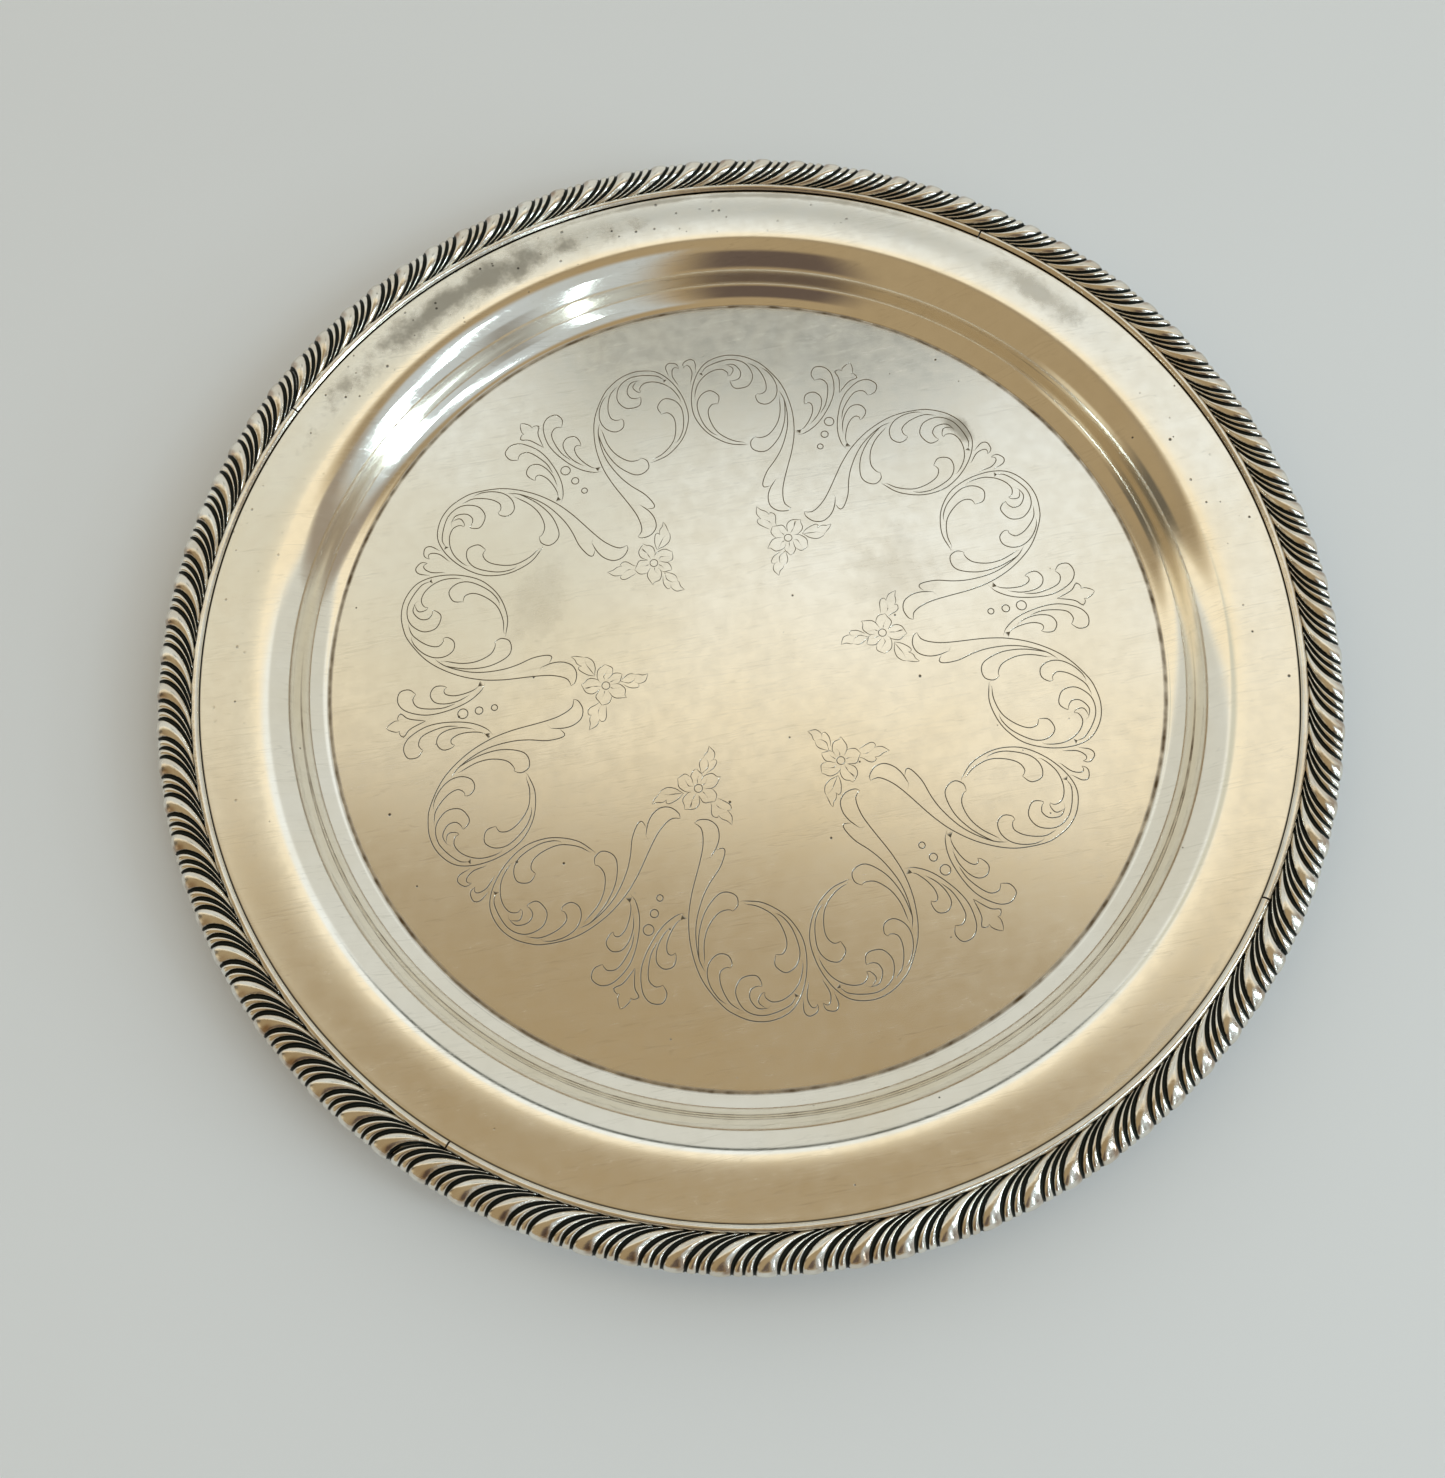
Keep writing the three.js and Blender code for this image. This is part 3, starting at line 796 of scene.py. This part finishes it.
def sweep(out):
    """Turn of the comma-shaped lobes about the axis at a distance from the border's inner edge."""
    t = min(max((swept_out - out) / (swept_out - quirk), 0.0), 1.0)
    curved = (1 - math.sqrt(1 - (bend * t**hook) ** 2)) / (1 - math.sqrt(1 - bend**2))
    return lean * (straight_share * t + (1 - straight_share) * curved)


def border_rows():
    """Section of a length as (out, up, direction into the metal, share of the sunk depth, 1 where shade is
    painted black).
    """
    half, spring, rise = bead
    # The bead's upright side against the flange is painted black as its shadow.
    rows = [(0.0, clearance, (0, 0), 0.0, 1.0), (0.0, bead_shadow_level, (0, 0), 0.0, 1.0)]
    for a in np.linspace(math.pi, bead_last, bead_steps):
        rows.append((half + half * math.cos(a), spring + rise * math.sin(a), (0, 0), 0.0, 0.0))
    # The quirk between the bead and the lobes is painted black as shade.
    rows.append((quirk - quirk_width, clearance, (0, 0), 0.0, 1.0))
    reach = lobe_crest - quirk
    for a in np.linspace(0, math.pi / 2, rise_steps + 1)[:-1]:
        out = lobe_crest - reach * math.cos(a)
        up = lobe_foot + (lobe_top - lobe_foot) * math.sin(a)
        share = min(1.0, foot_share + (out - quirk) / foot_run)
        rows.append((out, up, (foot_share * math.cos(a), -1), share, 0.0))
    overhang = border_width - lobe_crest
    for a in np.linspace(math.pi / 2, -turned_under, fall_steps):
        out = lobe_crest + overhang * math.cos(a)
        up = widest + (lobe_top - widest) * math.sin(a)
        share = edge_share + (1 - edge_share) * max(0.0, math.sin(a))
        rows.append((out, up, (-math.cos(a), -math.sin(a)), share, 0.0))
    # The hidden back under the flange is painted black as shade.
    back = [(hollow_back[0][0], rows[-1][1]), *hollow_back]
    return rows + [(out, up, (0, 0), 0.0, 1.0) for out, up in back]


def border_columns():
    """Stations across one repeat as (low edge, high edge, place between them or None, rise, drop)."""
    columns = []
    for low, high, count, drop in zip(ridge_edges, ridge_edges[1:], ridge_columns, ridge_drop):
        columns.append((low, high, None, 0.0, 0.0))
        for k in range(count + 1):
            turned = math.pi * k / count
            columns.append((low, high, (1 - math.cos(turned)) / 2, math.sin(turned), drop))
    columns.append((1.0, 1.0, None, 0.0, 0.0))
    return columns


def border_repeat():
    """One repeat of the border: a broad lobe and two reeds, as an open-ended length of its section."""
    rows = border_rows()
    columns = border_columns()
    pitch = repeat_turn * rim_radius
    places, faces, hollow_oxide_and_shade_values, across, along = [], [], [], [], []
    for low, high, spot, rise, drop in columns:
        for out, up, into, share, painted_shade in rows:
            outward = min(max((out - quirk) / (swept_out - quirk), 0.0), 1.0)
            gap = (hollow_width[0] + (hollow_width[1] - hollow_width[0]) * outward) / pitch
            u = low if spot is None else low + gap / 2 + (high - low - gap) * spot
            down = share * (hollow_depth * (1 - rise) + drop * rise)
            radius = seat_radius + out + into[0] * down
            angle = u * repeat_turn + sweep(out)
            places.append((radius * math.cos(angle) * mm, radius * math.sin(angle) * mm,
                           (seat + up + into[1] * down) * mm))
            # Painted shade rows are fully black; down a ridge's side the black is real oxide widened by
            # painted shade.
            hollow_oxide_and_shade_values.append(max(painted_shade, 1 - rise if share > 0 else 0.0))
            across.append(u)
            along.append(out / border_width)
    count = len(rows)
    for column in range(len(columns) - 1):
        for i in range(count):
            a, b = column * count + i, column * count + (i + 1) % count
            faces.append((a, b, b + count, a + count))
    mesh = bpy.data.meshes.new("border_repeat")
    mesh.from_pydata(places, [], faces)
    for name, values in (("hollow_oxide_and_shade", hollow_oxide_and_shade_values), ("across", across), ("along", along)):
        mesh.attributes.new(name, "FLOAT", "POINT").data.foreach_set("value", values)
    return mesh


border_metal, nodes, here = metal("oxidised silver plate with painted shade")
hollow_oxide_and_shade = add(nodes, "ShaderNodeAttribute", attribute_name="hollow_oxide_and_shade").outputs["Fac"]
across = add(nodes, "ShaderNodeAttribute", attribute_name="across").outputs["Fac"]
along = add(nodes, "ShaderNodeAttribute", attribute_name="along").outputs["Fac"]
film = use(nodes, film_tree, Vector=here, Scale=70.0)
hairlines = use(nodes, scratch_tree, Vector=here, Scale=160.0, Amount=0.7)["Lines"]
inward = ramp(nodes, along, 0.8, 0.2)
# Black in the hollows: real oxide widened by painted shade, reaching further towards the bead.
edge_of_oxide_and_shade = calc(nodes, "MULTIPLY_ADD", film["Mottle"], 0.18, hollow_oxide_and_shade)
edge_of_oxide_and_shade = calc(nodes, "MULTIPLY_ADD", inward, 0.12, edge_of_oxide_and_shade)
oxide_and_painted_shade = ramp(nodes, edge_of_oxide_and_shade, 0.54, 0.84)
# A reddish brown oval on the outer part of each broad lobe, near its higher edge, the same on every repeat.
lobe_patch = calc(
    nodes,
    "MULTIPLY",
    calc(nodes, "MULTIPLY", ramp(nodes, across, 0.74, 0.86), ramp(nodes, across, 0.99, 0.94)),
    calc(nodes, "MULTIPLY", ramp(nodes, along, 0.55, 0.75), ramp(nodes, along, 0.99, 0.90)),
)
lobe_patch = calc(nodes, "MULTIPLY", lobe_patch, calc(nodes, "MULTIPLY_ADD", film["Film"], 0.5, 0.3))
colour = tint(nodes, calc(nodes, "MULTIPLY", film["Film"], 0.6), worn_silver, warm_silver)
colour = tint(nodes, lobe_patch, colour, reddish_brown)
colour = tint(nodes, oxide_and_painted_shade, colour, oxide_and_shade_black)
rough = calc(nodes, "MULTIPLY_ADD", film["Mottle"], 0.06, 0.13)
rough = calc(nodes, "MULTIPLY_ADD", hairlines, 0.1, rough)
rough = calc(nodes, "MULTIPLY_ADD", oxide_and_painted_shade, 0.35, rough)
height = calc(nodes, "MULTIPLY", film["Mottle"], 0.012)
height = calc(nodes, "MULTIPLY_ADD", hairlines, -0.004, height)
finish_metal(nodes, colour, rough, height)

repeat_mesh = border_repeat()
for number in range(1, border_lengths + 1):
    first = first_joint + (number - 1) * 2 * math.pi / border_lengths + length_gap / 2 / rim_radius
    plain = grown(
        f"border_{number}",
        repeat_mesh.copy(),
        repeat_tree,
        count=repeats,
        first_angle=first,
        pitch=repeat_turn,
        unevenness=unevenness * mm,
        seed=float(number),
        metal=border_metal,
    )
    built = bmesh.new()
    built.from_mesh(plain)
    open_edges = [edge for edge in built.edges if edge.is_boundary]
    caps = bmesh.ops.holes_fill(built, edges=open_edges, sides=0)["faces"]
    bmesh.ops.triangulate(built, faces=caps)
    bmesh.ops.recalc_face_normals(built, faces=built.faces)
    for edge in open_edges:
        edge.smooth = False
    for face in built.faces:
        face.smooth = True
    built.to_mesh(plain)
    built.free()
    length = bpy.data.objects.new(f"border_length_{number}", plain)
    bpy.context.scene.collection.objects.link(length)
    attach(length, "root")
    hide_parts(f"gadroon_length_{number}")

# --- The table, the light and the viewer ------------------------------------------------------------
# A plain pale floor and a bright room: a warm ceiling that pales towards the far wall, pale curtains with
# three columns of window panes on the near right, and a few darker things standing about. The camera is
# held over the tray's near edge and looks steeply down through a fairly wide lens.
half = 12.0  # m; half the floor's width
table_colour = (0.83, 0.87, 0.92, 1)
corners = [(-half, -half, 0), (half, -half, 0), (half, half, 0), (-half, half, 0)]
floor_mesh = bpy.data.meshes.new("table_top")
floor_mesh.from_pydata(corners, [], [(0, 1, 2, 3)])
floor = bpy.data.objects.new("table_top", floor_mesh)
bpy.context.scene.collection.objects.link(floor)
linen = bpy.data.materials.new("pale floor")
linen.use_nodes = True
linen.node_tree.nodes["Principled BSDF"].inputs["Base Color"].default_value = table_colour
linen.node_tree.nodes["Principled BSDF"].inputs["Roughness"].default_value = 0.9
floor_mesh.materials.append(linen)

ceiling = (0.41, 0.31, 0.175)
bands = (  # how far towards the far wall a part of the room begins and is full, and its colour
    (-0.34, -0.18, (0.36, 0.28, 0.17)),
    (-0.19, -0.125, (0.66, 0.55, 0.37)),
    (-0.135, -0.07, (1.05, 0.95, 0.73)),
    (0.0, 0.14, (0.97, 1.01, 0.99)),
)
lean_of_room = (0.35, -0.38)  # share of X and of Z in the direction towards the far wall
dado = (58, 49, (0.70, 0.71, 0.66))  # elevations at which the far wall's darker part begins and is full
patches = (  # azimuth from and to, elevation from and to, softness, all in degrees, and colour
    (61, 94, 51, 57, 2, (0.12, 0.13, 0.115)),
    (88, 122, 58, 67, 3, (0.70, 0.70, 0.60)),
    (276, 345, -90, 72, 6, (0.55, 0.59, 0.60)),
    (300, 309, -90, 30, 4, (0.32, 0.31, 0.28)),
    (343, 359, -90, 52, 5, (0.36, 0.31, 0.25)),
    (238, 268, 8, 60, 6, (0.13, 0.095, 0.075)),
    (184, 198, -90, 14, 5, (0.78, 0.68, 0.48)),
    (164, 178, -90, 24, 5, (0.15, 0.13, 0.095)),
)
backdrop = (0.72, 0.73, 0.73)  # what the camera sees beyond the floor
room = bpy.data.worlds.new("room")
bpy.context.scene.world = room
room.use_nodes = True
nodes = room.node_tree
ray = add(nodes, "ShaderNodeTexCoord").outputs["Generated"]
part = add(nodes, "ShaderNodeSeparateXYZ", {0: ray})
azimuth = calc(nodes, "ARCTAN2", part.outputs["Y"], part.outputs["X"])
azimuth = calc(nodes, "MODULO", calc(nodes, "ADD", azimuth, 2 * math.pi), 2 * math.pi)
elevation = calc(nodes, "ARCSINE", part.outputs["Z"])
beyond = calc(nodes, "MULTIPLY_ADD", part.outputs["X"], lean_of_room[0], part.outputs["Y"])
beyond = calc(nodes, "MULTIPLY_ADD", part.outputs["Z"], lean_of_room[1], beyond)


def between(value, start, end, blur):
    """1 where value lies between start and end in degrees, and 0 outside, with soft limits."""
    limits = [(start - blur, start + blur), (end + blur, end - blur)]
    sides = [ramp(nodes, value, math.radians(low), math.radians(high)) for low, high in limits]
    return calc(nodes, "MULTIPLY", *sides)


colour = ceiling
for begins, full, shade in bands:
    reached = ramp(nodes, beyond, begins, full)
    colour = tint(nodes, reached, colour, shade)
darker = ramp(nodes, elevation, math.radians(dado[0]), math.radians(dado[1]))
colour = tint(nodes, calc(nodes, "MULTIPLY", reached, darker), colour, dado[2])
for start, end, low, high, blur, shade in patches:
    share = calc(nodes, "MULTIPLY", between(azimuth, start, end, blur), between(elevation, low, high, blur))
    colour = tint(nodes, share, colour, shade)
seen_directly = add(nodes, "ShaderNodeLightPath").outputs["Is Camera Ray"]
colour = tint(nodes, seen_directly, colour, backdrop)
nodes.links.new(colour, nodes.nodes["Background"].inputs["Color"])
nodes.nodes["Background"].inputs["Strength"].default_value = 1.0

window_away = 1.6
window_rows = 5
daylight = (0.72, 0.90, 1.0)
windows = (  # bearing in degrees; width, lowest pane's middle, height and spacing of panes in m; power
    (291.0, 0.05, 0.30, 0.19, 0.30, 0.45),
    (321.5, 0.13, 1.15, 0.30, 0.44, 1.7),
    (331.5, 0.21, 0.20, 0.19, 0.30, 1.9),
)
for column, (bearing, width, lowest, height, spacing, power) in enumerate(windows):
    for row in range(window_rows):
        pane = bpy.data.lights.new(f"window_pane_{column}_{row}", "AREA")
        pane.shape = "RECTANGLE"
        pane.size = width
        pane.size_y = height
        pane.energy = power
        pane.color = daylight
        lamp = bpy.data.objects.new(pane.name, pane)
        around = math.radians(bearing)
        up = lowest + spacing * row
        lamp.location = (window_away * math.cos(around), window_away * math.sin(around), up)
        lamp.rotation_euler = (math.pi / 2, 0, around + math.pi / 2)
        lamp.visible_camera = False
        bpy.context.scene.collection.objects.link(lamp)

eye = Vector((-22.8, -113.7, 302.4)) * mm
gaze = Vector((0.0394, 0.2937, -0.9551)).normalized()
upright = math.radians(78.7)  # bearing on the table that points straight up in this view
level = Vector((math.cos(upright), math.sin(upright), 0.0))
rightward = gaze.cross(level).normalized()
skyward = rightward.cross(gaze)
viewer = bpy.data.objects.new("viewer", bpy.data.cameras.new("viewer"))
viewer.data.lens = 28.88
viewer.data.sensor_width = 36.0
turn = Matrix((rightward, skyward, -gaze)).transposed().to_4x4()
viewer.matrix_world = Matrix.Translation(eye) @ turn
bpy.context.scene.collection.objects.link(viewer)
bpy.context.scene.camera = viewer
bpy.context.scene.view_settings.view_transform = "Standard"
